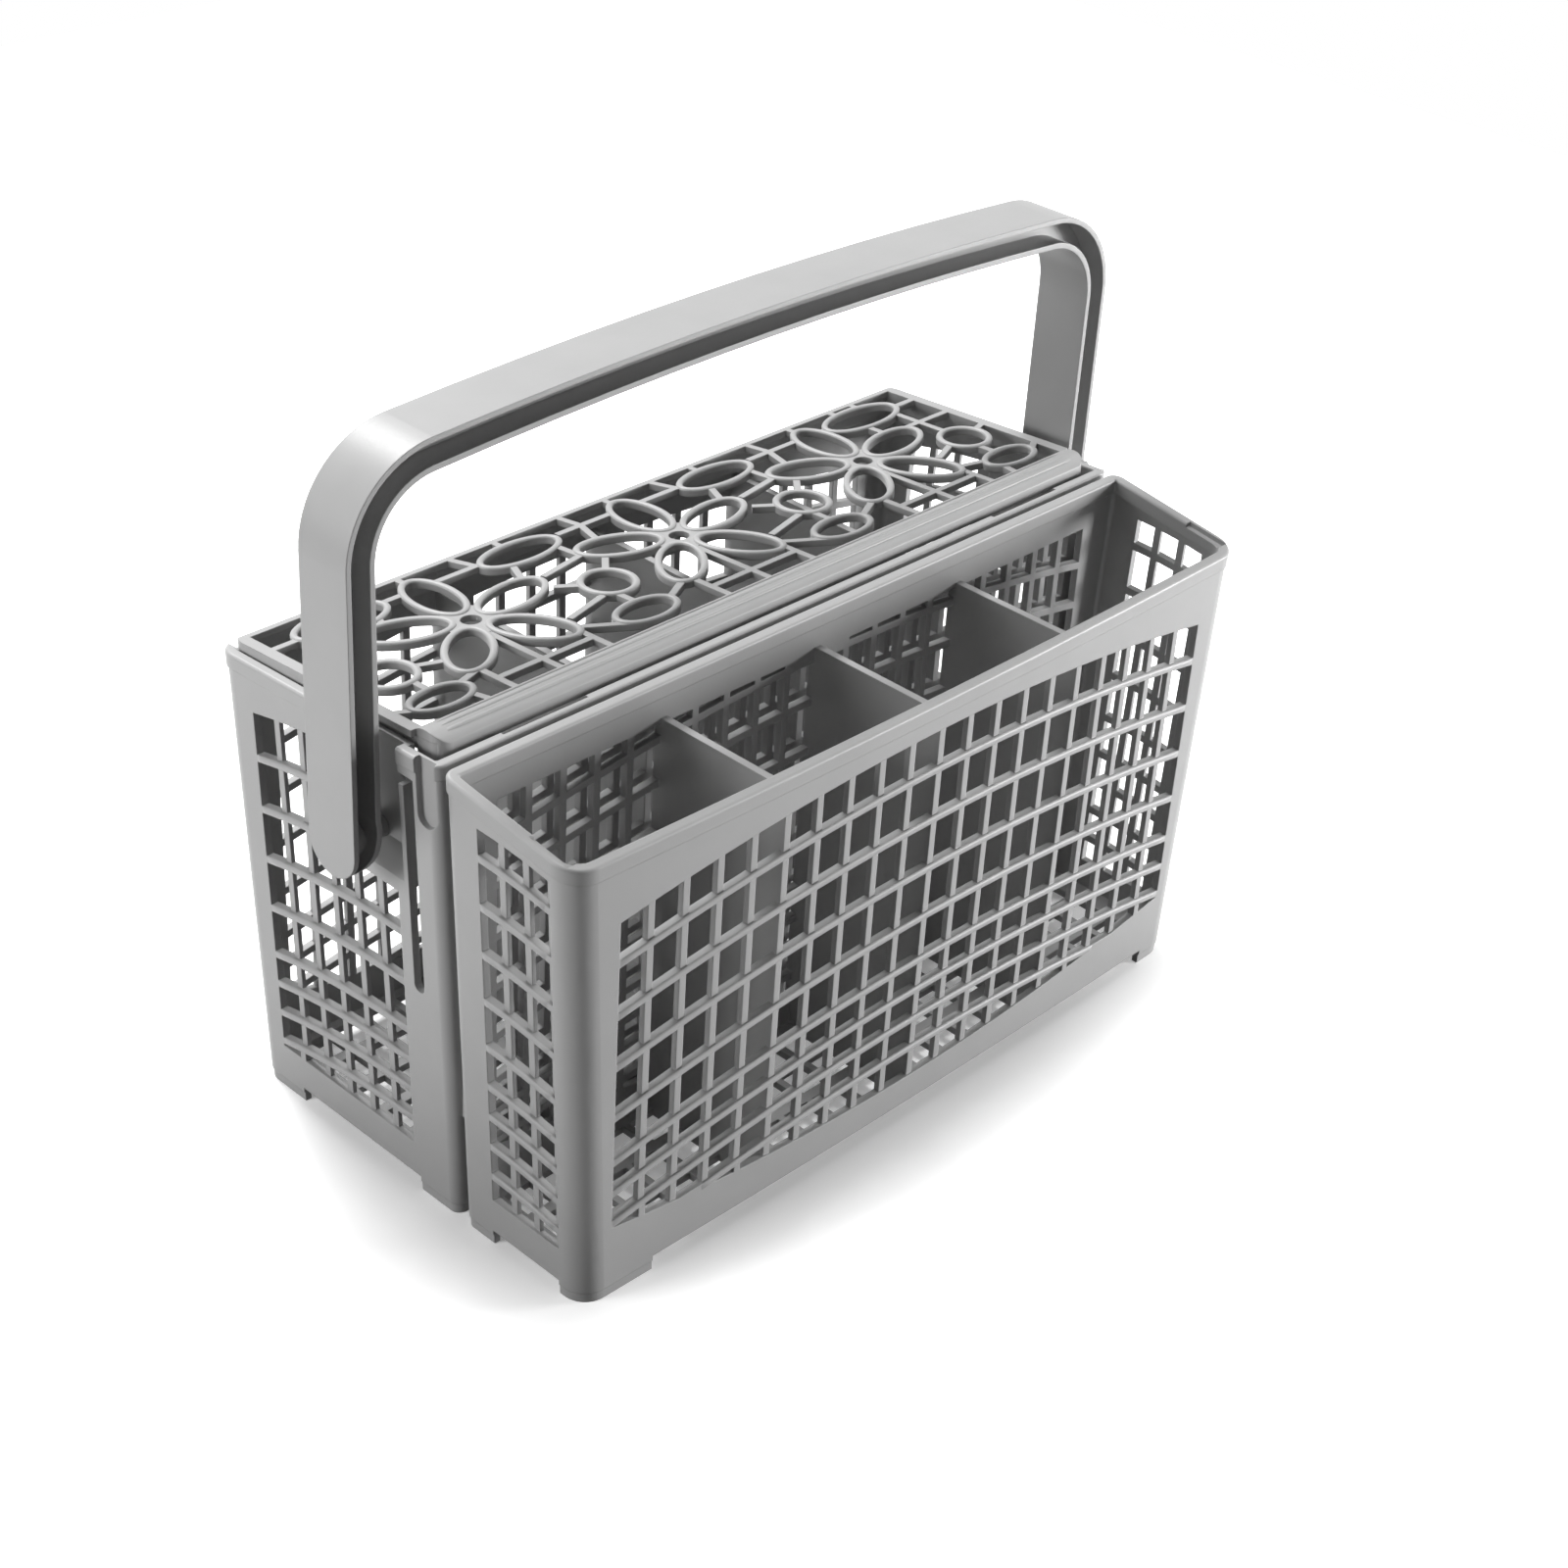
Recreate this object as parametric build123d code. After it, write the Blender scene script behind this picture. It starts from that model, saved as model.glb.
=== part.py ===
from build123d import *
import os
from math import atan, atan2, degrees, sqrt

# Cutlery basket of a dishwasher. X runs along the length, -Y is the front, +Z is up.
# The origin is the middle of the footprint on the floor. All sizes in mm.

# Overall sizes of the two baskets together
rim_length = 231.0
overall_depth = 124.0
parting_rim_height = 128.6

# The parting between the front and the rear basket
split_y = -17.3
split_gap = 1.5
rail_from = 104.8
rail_to = 108.3
rail_low = 30.0
rail_high = 105.0

# Walls
wall = 2.0
rim_width = 3.0
rim_band = 4.0
rim_step = 0.4
rim_round = 0.8
end_draft = 5.4
front_bow = 1.6
rear_lean = 2.0
front_rim_height = 122.4
rear_rim_height = 124.9
front_corner = 7.2
rear_corner = 5.6
gap_corner = 3.4
corner_least = 0.3

# Floor, feet and dividers
foot_height = 4.2
foot_step_height = 2.8
foot_step = 0.3
floor_thick = 2.0
divider_columns = (-5, 0, 5)
divider_top = 118.5
front_foot_left = -88.0
front_foot_right = 97.0
front_foot_side = -52.1
front_foot_gap_side = -29.1
rear_foot_gap_side = -2.6
rear_foot_side = 42.9
inner_foot = 97.0
floor_slot_bar = 3.0
floor_slots_front = 3
floor_slots_rear = 6

# Grille bars, their arcs sag from the middle of the wall to its ends
bar = 2.0
columns = 20
column_pitch = 10.25
long_arc = 569.0
long_top = 115.3
long_first = 103.4
long_pitch = 14.05
upper_rows = 4
lower_first = 48.4
lower_pitch = 9.0
lower_rows = 4
lens_bottom = 12.5
lens_rise = 3.1
lens_half = 64.0
inner_grille_top = 117.0
least_opening = 1.0
least_point = 0.5
long_recess = 0.5
side_recess = 0.9

# Grille of the rear basket's end walls
side_columns = 6
side_pitch = 8.75
side_start = 50.7
side_arc = 215.0
side_top = 119.1
side_first = 105.6
side_row_pitch = 14.4
side_bottom = 14.0
under_pocket = 88.2

# Grille of the front basket's end walls
front_side_columns = 3
front_side_pitch = 7.8
front_side_start = -28.4
front_side_arc = 142.0
front_side_top = 120.6
front_side_first = 111.8
front_side_row_pitch = 13.0
front_side_upper_rows = 5
front_side_bottom = 14.0
front_side_margin = 1.6

# Notch on the inner side of the front basket's rim, beside its front corners
notch_front = -57.0
notch_rear = -45.0
notch_depth = 1.2
notch_lip = 1.5

# Handle
handle_width = 16.0
handle_half = 125.5
handle_crown = 199.7
handle_sag = 4.8
handle_depth = 7.6
handle_bend = 25.0
outer_flange = 1.3
inner_flange = 1.4
handle_web = 2.4
pivot_y = 7.4
pivot_z = 101.5
flare_top = 109.0
flare_share_in = 0.32
flare_share_down = 0.72
stud_radius = 3.0
boss_radius = 4.6
pin_clearance = 0.09

# Pocket of the handle's pivot in the rear basket's end walls
pocket_front = -3.2
pocket_rear = 18.5
pocket_depth = 2.8
pocket_wall = 1.5
pocket_bottom = 100.0
pocket_ramp = 8.0
slot_front = -8.2
slot_rear = -4.7
slot_bottom = 62.5
slot_top = 121.5
slot_hook = 3.0
scoop_front = -15.2
scoop_rear = -9.4
scoop_bottom = 111.0
scoop_depth = 1.4

# Lid, drawn flat with its top at zero and then laid sloping over the rear basket
lid_height = 131.0
lid_slope = 0.0707
lid_half = 112.2
lid_front = -12.2
lid_panel_front = -4.4
lid_thick = 1.7
lid_border = 2.2
lid_rear_border = 4.3
lid_corner = 5.3
lid_skirt = 5.0
lid_skirt_wall = 1.6
lid_skirt_half = 110.7
lid_room = 0.3
hinge_radius = 3.4
hinge_local_y = 58.25
hinge_pin = 1.3
hinge_pin_reach = 1.4
seat_drop = 2.0
lip_half = 110.8
lip_rise = 0.7
lip_drop = 4.6
lip_corner = 3.5
lattice_rib = 1.8
catch_from = 70.0
catch_to = 95.0
catch_depth = 1.3

# Floral lattice: three flowers of five petals, ovals between them and at both ends.
# Ovals are middle and half sizes. Flower and gap groups count from their own middle.
flower_pitch = 67.4
flower_y = 28.3
flower_hole = 2.6
petals = 5
petal_turn = 12.0
petal_reach = 15.6
petal_long = 10.2
petal_short = 4.8
gap_ovals = ((-0.7, 20.6, 11.0, 4.6), (3.0, -7.3, 5.7, 6.1), (-1.0, -24.9, 7.9, 4.3))
end_ovals = ((89.2, 49.2, 12.0, 5.2), (98.6, 20.1, 5.7, 5.8), (97.4, 3.2, 7.5, 3.9))
flower_ribs = (((1.6, 25.0), (1.7, 31.0)), ((-1.5, -8.0), (-1.5, -33.0)), ((-15.0, -19.0), (-15.0, -33.0)),
               ((14.0, -19.0), (14.0, -33.0)), ((-15.0, -26.8), (14.0, -26.8)), ((-21.0, 22.0), (21.0, 22.0)),
               ((-14.2, 31.0), (-13.0, 22.0)), ((-13.0, 22.0), (-15.6, 13.5)), ((17.5, 31.0), (20.0, 22.5)))
gap_ribs = (((-1.6, 31.0), (-1.6, 25.0)), ((-7.0, 16.0), (-10.0, 9.5)), ((8.0, 17.0), (8.5, 9.0)),
            ((-6.0, 6.0), (10.0, 9.0)), ((-8.0, 0.0), (-3.0, -4.0)), ((7.0, -2.0), (12.0, 3.5)),
            ((-17.0, -15.7), (-3.0, -12.0)), ((0.2, -13.0), (0.2, -20.0)), ((6.5, -24.5), (15.0, -20.0)),
            ((-19.0, -20.0), (-8.0, -28.0)))
end_ribs = (((94.0, 59.0), (94.0, 54.0)), ((101.0, 48.5), (111.0, 48.5)), ((98.3, 44.0), (98.3, 26.0)),
            ((91.0, 36.0), (111.0, 36.0)), ((85.8, 44.0), (85.8, 36.0)), ((104.0, 21.5), (111.0, 23.6)),
            ((83.0, 15.5), (93.5, 20.0)), ((97.0, 14.0), (97.0, 7.0)), ((83.0, 7.8), (90.5, 5.5)),
            ((104.0, 1.5), (111.0, 5.7)), ((91.5, 1.0), (90.2, -5.0)))

far = 400.0
overcut = 0.1
near_zero = 1e-4

floor_top = foot_height + floor_thick


class Tub:
    """One basket: which way it faces and where its four walls stand."""

    def __init__(self, side, rim_height, bow, lean, corner):
        self.side = side
        self.lean = lean
        self.corner = corner
        self.inner_y = split_y + side * split_gap / 2
        self.outer_y = side * overall_depth / 2
        self.rim_height = rim_height
        self.bow = bow

    def rim_z(self, y):
        """Height of the sloping rim at depth y."""
        share = (y - self.inner_y) / (self.outer_y - self.inner_y)
        return parting_rim_height - (parting_rim_height - self.rim_height) * share

    def outer_at(self, z):
        """Depth of the leaning outer wall at height z."""
        return self.outer_y - self.side * self.lean * (1 - z / self.rim_height)


front_tub = Tub(-1, front_rim_height, front_bow, 0.0, front_corner)
rear_tub = Tub(1, rear_rim_height, 0.0, rear_lean, rear_corner)


def prism(points, travel):
    """A flat polygon pushed along a straight way."""
    return Solid.extrude(Face(Wire.make_polygon([Vector(*p) for p in points], close=True)), Vector(*travel))


def block(x0, x1, y0, y1, z0, z1):
    """A box between two corners."""
    return prism([(x0, y0, z0), (x1, y0, z0), (x1, y1, z0), (x0, y1, z0)], (0, 0, z1 - z0))


def half_length(z):
    """Half of the baskets' outside length at height z."""
    return rim_length / 2 - end_draft * (1 - z / front_rim_height)


def upright_edges(plug, y, radius):
    """Rounds the upright edges of a plug that end nearest to depth y."""
    upright = [e for e in plug.edges() if abs(e.tangent_at(0.5).Z) > 0.9]
    nearest = sorted(upright, key=lambda e: abs(e.center().Y - y))[:2]
    return plug.fillet(radius, nearest)


def tapered(tub, inset, z0, z1):
    """Solid plug of a basket's outline, moved inward by inset, between two heights."""
    inner = tub.inner_y + tub.side * inset
    outer = tub.outer_y - tub.side * inset
    a, b = half_length(z0) - inset, half_length(z1) - inset
    reach = outer - inner + tub.side
    plug = prism([(-a, inner, z0), (a, inner, z0), (b, inner, z1), (-b, inner, z1)], (0, reach, 0))
    low, high = (tub.outer_at(z) - tub.side * inset for z in (z0, z1))
    plug &= prism([(-far, inner, z0), (-far, low, z0), (-far, high, z1), (-far, inner, z1)], (2 * far, 0, 0))
    if tub.bow > 0:
        radius = (rim_length ** 2 / 4 + tub.bow ** 2) / (2 * tub.bow)
        middle = Plane(origin=(0, tub.outer_y - tub.side * radius, z0))
        plug &= Solid.make_cylinder(radius - inset, z1 - z0, middle)
    plug = upright_edges(plug, inner, max(gap_corner - inset, corner_least))
    return upright_edges(plug, outer, max(tub.corner - inset, corner_least))


def above_rim(tub, lower):
    """Everything over the rim plane, lowered by the given height."""
    reach = overall_depth
    low, high = tub.rim_z(-reach) - lower, tub.rim_z(reach) - lower
    return prism([(-far, -reach, low), (-far, reach, high), (-far, reach, far), (-far, -reach, far)],
                 (2 * far, 0, 0))


def both_ends(solid):
    """A solid at the right end with its twin at the left end."""
    return [solid, solid.mirror(Plane.YZ)]


def end_slab(inset, y0, y1, z0, z1):
    """Space outside a plane parallel to the right end wall."""
    low, high = half_length(z0) - inset, half_length(z1) - inset
    return prism([(low, y0, z0), (high, y0, z1), (far, y0, z1), (far, y0, z0)], (0, y1 - y0, 0))


def sag(radius, u):
    """Drop of an arc from its crown at a distance u."""
    return radius - sqrt(radius * radius - u * u)


def bar_heights(first, pitch, rows):
    """Heights of the arched bars at their crown, from the top down."""
    upper = [first - pitch * i for i in range(rows)]
    return upper + [lower_first - lower_pitch * i for i in range(lower_rows)]


class Grille:
    """Openings of one wall between upright columns and arched bars.

    edges are the column bars' middles, heights the arched bars' crowns and
    drop their sag. ceiling and base close the grille at the top and bottom.
    """

    def __init__(self, edges, heights, drop, ceiling, base):
        self.edges = sorted(edges)
        self.heights = heights
        self.drop = drop
        self.ceiling = ceiling
        self.base = base

    def span(self, row, u):
        """Lower and upper edge of a row at the distance u."""
        top, foot = self.ceiling(u), self.base(u)
        if row > 0:
            top = min(top, self.heights[row - 1] - bar / 2 - self.drop(u))
        if row < len(self.heights):
            foot = max(foot, self.heights[row] + bar / 2 - self.drop(u))
        return foot, top

    def cells(self):
        """Outlines of the openings; one whose edges meet ends in a point."""
        found = []
        for left, right in zip(self.edges[:-1], self.edges[1:]):
            u, v = left + bar / 2, right - bar / 2
            for row in range(len(self.heights) + 1):
                (f0, t0), (f1, t1) = self.span(row, u), self.span(row, v)
                if max(t0 - f0, t1 - f1) < least_opening:
                    continue
                if min(t0 - f0, t1 - f1) > least_point:
                    found.append([(u, f0), (v, f1), (v, t1), (u, t0)])
                    continue
                share = (t0 - f0) / (t0 - f0 - t1 + f1)
                share = min(max(share, 0.0), 1.0)
                point = (u + (v - u) * share, f0 + (f1 - f0) * share)
                found.append([(u, f0), point, (u, t0)] if t0 - f0 > t1 - f1 else [(v, f1), (v, t1), point])
        return found

    def bands(self, margin=0.0):
        """Outlines of the rows, each over all the neighbouring columns that it runs through.

        margin is how far they run on beyond the first column.
        """
        found = []
        for row in range(len(self.heights) + 1):
            low, high = [], []
            for left, right in zip(self.edges[:-1], self.edges[1:]):
                start = left + bar / 2 - (margin if left == self.edges[0] else 0.0)
                ends = [(u, *self.span(row, u)) for u in (start, right - bar / 2)]
                if min(top - foot for u, foot, top in ends) > least_opening:
                    low += [(u, foot) for u, foot, top in ends]
                    high += [(u, top) for u, foot, top in ends]
                elif low:
                    found.append(low + high[::-1])
                    low, high = [], []
            if low:
                found.append(low + high[::-1])
        return found


def across_y(outlines, y0, y1):
    """Outlines on a long wall pushed between two depths."""
    return [prism([(x, y0, z) for x, z in one], (0, y1 - y0, 0)) for one in outlines]


def across_x(outlines):
    """Outlines on the end walls pushed out through both of them."""
    inside = half_length(0) - rim_width - wall
    right = [prism([(inside, y, z) for y, z in one], (far, 0, 0)) for one in outlines]
    return [end for one in right for end in both_ends(one)]


def recessed(tub, prisms, depth):
    """The skin of a basket inside some prisms, down to a depth below its face."""
    skin = tapered(tub, 0, 0, parting_rim_height) - tapered(tub, rim_step + depth, -1, parting_rim_height + 1)
    return [skin & one for one in prisms]


def lens(x):
    """Lower edge of the long walls' lowest row, closed outside the lens."""
    return lens_bottom + lens_rise * (x / lens_half) ** 2


def long_drop(x):
    """Sag of the arched bars on the long walls."""
    return sag(long_arc, x)


def arched_top(x):
    """Upper edge of the outer long walls' grille."""
    return long_top - bar / 2 - long_drop(x)


def flat_top(x):
    """Upper edge of the grilles at the parting, level with the rim."""
    return inner_grille_top


def long_grille(ceiling):
    """Grille of a long wall."""
    edges = [column_pitch * (i - columns / 2) for i in range(columns + 1)]
    heights = [long_top] + bar_heights(long_first, long_pitch, upper_rows)
    return Grille(edges, heights, long_drop, ceiling, lens)


def rear_side_grille():
    """Grille of the rear basket's end walls, lower under the handle's pocket."""
    edges = [side_start - side_pitch * i for i in range(side_columns + 1)]
    heights = bar_heights(side_first, side_row_pitch, upper_rows)
    return Grille(edges, heights, side_drop, side_ceiling, lambda y: side_bottom)


def side_drop(y):
    """Sag of the arched bars on the rear basket's end walls."""
    return sag(side_arc, y)


def side_ceiling(y):
    """Upper edge of the grille on the rear basket's end walls."""
    if y < pocket_rear + pocket_wall + side_pitch / 2:
        return under_pocket
    return side_top - bar / 2 - side_drop(y)


def front_drop(y):
    """Sag of the arched bars on the front basket's end walls."""
    return sag(front_side_arc, y - front_side_start)


def front_ceiling(y):
    """Upper edge of the grille on the front basket's end walls."""
    return front_side_top - bar / 2 - front_drop(y)


def front_side_grille():
    """Grille of the front basket's end walls."""
    edges = [front_side_start - front_side_pitch * i for i in range(front_side_columns + 1)]
    heights = bar_heights(front_side_first, front_side_row_pitch, front_side_upper_rows)
    return Grille(edges, heights, front_drop, front_ceiling, lambda y: front_side_bottom)


def floor_slots(tub, rows):
    """Slots through the floor, in line with the columns of the long walls."""
    first = tub.inner_y + tub.side * (wall + floor_slot_bar)
    last = tub.outer_y - tub.side * (tub.bow + tub.lean + wall + floor_slot_bar)
    pitch = (last - first + tub.side * floor_slot_bar) / rows
    slots = []
    for i in range(columns):
        x = column_pitch * (i - columns / 2)
        for j in range(rows):
            y = first + pitch * j
            ends = sorted((y, y + pitch - tub.side * floor_slot_bar))
            slots.append(block(x + bar / 2, x + column_pitch - bar / 2, ends[0], ends[1], 0, floor_top + 1))
    return slots


def shell(tub):
    """Basket with floor, dividers and a stepped rim, before any grille is cut."""
    top = parting_rim_height + 2
    outer = tapered(tub, rim_step, 0, top) + (tapered(tub, 0, 0, top) & above_rim(tub, rim_band))
    room = tapered(tub, rim_width, floor_top, top)
    room += tapered(tub, rim_step + wall, floor_top, top) - above_rim(tub, rim_band)
    body = outer - room - above_rim(tub, 0)
    rim = max((f for f in body.faces() if f.normal_at().Z > 0.9), key=lambda f: f.center().Z)
    body = body.fillet(rim_round, rim.edges())
    between = tapered(tub, rim_step + wall / 2, foot_height + 1, divider_top)
    for column in divider_columns:
        x = column * column_pitch
        body += between & block(x - bar / 2, x + bar / 2, -far, far, 0, far)
    step = tapered(tub, 0, -1, foot_step_height) - tapered(tub, rim_step + foot_step, -2, foot_height)
    return body.cut(tapered(tub, rim_step + wall, -1, foot_height), step)


def build_front_basket():
    """Shallow basket in front."""
    tub = front_tub
    inner, outer = tub.inner_y, tub.outer_y
    thick = wall + rim_step
    rail = block(rail_from, rail_to, inner - thick / 2, inner + split_gap + rim_step, rail_low, rail_high)
    body = shell(tub) + both_ends(rail)
    front_wall, side_wall = long_grille(arched_top), front_side_grille()
    face = (outer - 1, outer + tub.bow + thick + overcut)
    cuts = across_y(front_wall.cells(), *face) + across_x(side_wall.cells())
    cuts += across_y(long_grille(flat_top).cells(), inner - thick - overcut, inner)
    cuts += recessed(tub, across_y(front_wall.bands(), *face), long_recess)
    cuts += recessed(tub, across_x(side_wall.bands(front_side_margin)), side_recess)
    cuts += floor_slots(tub, floor_slots_front)
    half = half_length(tub.rim_z(notch_front))
    cuts += both_ends(block(half - rim_width - 1, half - notch_lip, notch_front, notch_rear, 0, far)
                      & above_rim(tub, notch_depth))
    cuts.append(block(front_foot_left, front_foot_right, -far, outer + tub.bow + thick, -1, foot_height))
    cuts.append(block(-inner_foot, inner_foot, inner - thick, inner, -1, foot_height))
    cuts.append(block(-far, far, front_foot_side, front_foot_gap_side, -1, foot_height))
    return body.cut(*cuts)


def lid_place():
    """Where the flat-drawn lid goes: sloping to the rear over the rear basket's rim."""
    return Location((0, 0, lid_height), (-degrees(atan(lid_slope)), 0, 0))


def hinge_axis():
    """Depth and height of the lid's hinge."""
    middle = (lid_place() * Location((0, hinge_local_y, -hinge_radius))).position
    return middle.Y, middle.Z


def rod(x0, x1, y, z, radius):
    """Round rod along X."""
    return Solid.make_cylinder(radius, x1 - x0, Plane(origin=(x0, y, z), z_dir=(1, 0, 0)))


def round_foot(y0, y1, low, inside):
    """Rounded lower end of an upright slot between two depths."""
    return rod(inside, far, (y0 + y1) / 2, low + (y1 - y0) / 2, (y1 - y0) / 2)


def build_rear_basket():
    """Large basket with the handle's pockets and the lid's bearings."""
    tub = rear_tub
    inner, outer = tub.inner_y, tub.outer_y
    thick = wall + rim_step
    ramp_foot = pocket_bottom - pocket_ramp
    pad_front, pad_rear = pocket_front - pocket_wall, pocket_rear + pocket_wall
    pad = end_slab(pocket_depth + pocket_wall, pad_front, pad_rear, ramp_foot, far)
    pad &= tapered(tub, rim_step, floor_top, parting_rim_height + 2)
    body = shell(tub) + [end - above_rim(tub, 0) for end in both_ends(pad)]
    inside = half_length(0) - rim_width - wall
    pocket = end_slab(pocket_depth, pocket_front, pocket_rear, pocket_bottom, far)
    pocket += prism([(half_length(pocket_bottom) - pocket_depth, pocket_front, pocket_bottom),
                     (far, pocket_front, pocket_bottom), (far, pocket_front, ramp_foot),
                     (half_length(ramp_foot) - rim_step, pocket_front, ramp_foot)],
                    (0, pocket_rear - pocket_front, 0))
    slot_round = (slot_rear - slot_front) / 2
    slot = block(inside, far, slot_front, slot_rear, slot_bottom + slot_round, slot_top)
    slot += [round_foot(slot_front, slot_rear, slot_bottom, inside),
             block(inside + wall, far, slot_rear, slot_rear + slot_hook, slot_top - slot_hook, slot_top)]
    scoop_round = (scoop_rear - scoop_front) / 2
    scoop = end_slab(rim_step + scoop_depth, scoop_front, scoop_rear, scoop_bottom + scoop_round, far)
    scoop += round_foot(scoop_front, scoop_rear, scoop_bottom, inside) & end_slab(
        rim_step + scoop_depth, scoop_front, scoop_rear, scoop_bottom, far)
    hinge_y, hinge_z = hinge_axis()
    seat_half = lid_half + lid_room
    pin_end = lid_half + hinge_pin_reach + lid_room
    rear_wall, side_wall = long_grille(arched_top), rear_side_grille()
    face = (outer - tub.lean - thick - overcut, outer + 1)
    cuts = both_ends(pocket) + both_ends(slot) + both_ends(scoop)
    cuts += both_ends(rod(inside, far, pivot_y, pivot_z, stud_radius + pin_clearance))
    cuts += both_ends(rod(lid_half - wall, pin_end, hinge_y, hinge_z, hinge_pin + pin_clearance))
    cuts.append(rod(-seat_half, seat_half, hinge_y, hinge_z, hinge_radius + lid_room))
    cuts.append(block(-seat_half, seat_half, hinge_y - hinge_radius, far, hinge_z - seat_drop, far))
    cuts += both_ends(block(catch_from, catch_to, inner + rim_width / 2, inner + rim_width + 1,
                            tub.rim_z(inner) - catch_depth, far))
    cuts += across_y(rear_wall.cells(), *face) + across_x(side_wall.cells())
    cuts += across_y(long_grille(flat_top).cells(), inner - 1, inner + thick + overcut)
    cuts += recessed(tub, across_y(rear_wall.bands(), *face), long_recess)
    cuts += recessed(tub, across_x(side_wall.bands()), side_recess)
    cuts += floor_slots(tub, floor_slots_rear)
    cuts.append(block(-inner_foot, inner_foot, -far, inner + thick, -1, foot_height))
    cuts.append(block(front_foot_left, -front_foot_left, outer - tub.lean - thick, far, -1, foot_height))
    cuts.append(block(-far, far, rear_foot_gap_side, rear_foot_side, -1, foot_height))
    return body.cut(*cuts)


def arch(depth, foot, flare_to):
    """Area under the handle's arch, its edge moved inward by depth.

    Below flare_top the legs' inner side bends out until it is flare_to from
    the outer face at the height foot.
    """
    half, crown = handle_half - depth, handle_crown - depth
    low = pivot_z - handle_width
    shoulder = crown - handle_sag
    edges = [Edge.make_three_point_arc((-half, 0, shoulder), (0, 0, crown), (half, 0, shoulder))]
    if flare_to is None:
        corners = [(half, 0, shoulder), (half, 0, low), (-half, 0, low), (-half, 0, shoulder)]
        edges += [Edge.make_line(p, q) for p, q in zip(corners[:-1], corners[1:])]
    else:
        tip = handle_half - flare_to
        middle = (half + flare_share_in * (tip - half), 0,
                  flare_top + flare_share_down * (foot - flare_top))
        opposite = (-middle[0], 0, middle[2])
        edges += [Edge.make_line((half, 0, shoulder), (half, 0, flare_top)),
                  Edge.make_three_point_arc((half, 0, flare_top), middle, (tip, 0, foot)),
                  Edge.make_line((tip, 0, foot), (tip, 0, low)),
                  Edge.make_line((tip, 0, low), (-tip, 0, low)),
                  Edge.make_line((-tip, 0, low), (-tip, 0, foot)),
                  Edge.make_three_point_arc((-tip, 0, foot), opposite, (-half, 0, flare_top)),
                  Edge.make_line((-half, 0, flare_top), (-half, 0, shoulder))]
    face = Face(Wire(edges))
    bends = [v for v in face.vertices() if abs(v.Z - shoulder) < near_zero]
    return face.fillet_2d(handle_bend - depth, bends)


def across(face, y0, y1):
    """A face of the arch pushed between two depths."""
    return Solid.extrude(face.moved(Location((0, y0, 0))), Vector(0, y1 - y0, 0))


def build_handle():
    """Arched handle: an I-section with round leg ends and two studs."""
    front, rear = pivot_y - handle_width / 2, pivot_y + handle_width / 2
    tip = pivot_z - handle_width / 2
    body = across(arch(0, tip, None), front, rear)
    body -= across(arch(handle_depth, tip, outer_flange), front - 1, rear + 1)
    groove_outer = arch(outer_flange, tip, None)
    groove_inner = arch(handle_depth - inner_flange, tip + inner_flange, outer_flange)
    grooves = []
    for y0, y1 in ((front - 1, pivot_y - handle_web / 2), (pivot_y + handle_web / 2, rear + 1)):
        grooves.append(across(groove_outer, y0, y1) - across(groove_inner, y0 - 1, y1 + 1))
    body = body.cut(*grooves)
    below = block(-far, far, front - 1, rear + 1, 0, pivot_z)
    body -= below - rod(-far, far, pivot_y, pivot_z, handle_width / 2)
    studs = both_ends(rod(half_length(pivot_z) - pocket_depth - pocket_wall, handle_half - outer_flange,
                          pivot_y, pivot_z, stud_radius))
    bosses = both_ends(rod(handle_half - handle_depth + inner_flange, handle_half - outer_flange / 2,
                           pivot_y, pivot_z, boss_radius))
    return body + studs + bosses


def oval(x, y, a, b, tilt=0.0):
    """Elliptical face on the lid's plane."""
    return Pos(x, y) * Rot(0, 0, tilt) * Ellipse(a, b)


def rib(start, end):
    """Straight rib of the lattice between two points."""
    dx, dy = end[0] - start[0], end[1] - start[1]
    middle = Pos((start[0] + end[0]) / 2, (start[1] + end[1]) / 2)
    return middle * Rot(0, 0, degrees(atan2(dy, dx))) * Rectangle(sqrt(dx * dx + dy * dy), lattice_rib)


def flower_ovals(x):
    """Petals of the flower whose middle is at x."""
    ovals = []
    for k in range(petals):
        turn = petal_turn + 360 / petals * k
        reach = Vector(petal_reach, 0, 0).rotate(Axis.Z, turn)
        ovals.append((x + reach.X, flower_y + reach.Y, petal_long, petal_short, turn))
    return ovals


def lattice(opening):
    """Floral lattice that fills the opening of the lid's border."""
    flowers = [flower_pitch * k for k in (-1, 0, 1)]
    gaps = [flower_pitch * k for k in (-0.5, 0.5)]
    ovals = [one for x in flowers for one in flower_ovals(x)]
    ovals += [(g + x, flower_y + y, a, b, 0.0) for g in gaps for x, y, a, b in gap_ovals]
    ovals += [(side * x, y, a, b, 0.0) for side in (-1, 1) for x, y, a, b in end_ovals]
    ribs = [Pos(x, flower_y) * rib(p, q) for x in flowers for p, q in flower_ribs]
    ribs += [Pos(x, flower_y) * rib(p, q) for x in gaps for p, q in gap_ribs]
    ribs += [rib((side * p[0], p[1]), (side * q[0], q[1])) for side in (-1, 1) for p, q in end_ribs]
    solid = Sketch() + [oval(x, y, a + lattice_rib, b + lattice_rib, turn) for x, y, a, b, turn in ovals]
    solid += [Pos(x, flower_y) * Circle(petal_reach - petal_long + petal_short / 2) for x in flowers]
    solid += ribs
    holes = [oval(*one) for one in ovals] + [Pos(x, flower_y) * Circle(flower_hole) for x in flowers]
    return (solid & opening) - holes


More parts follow.
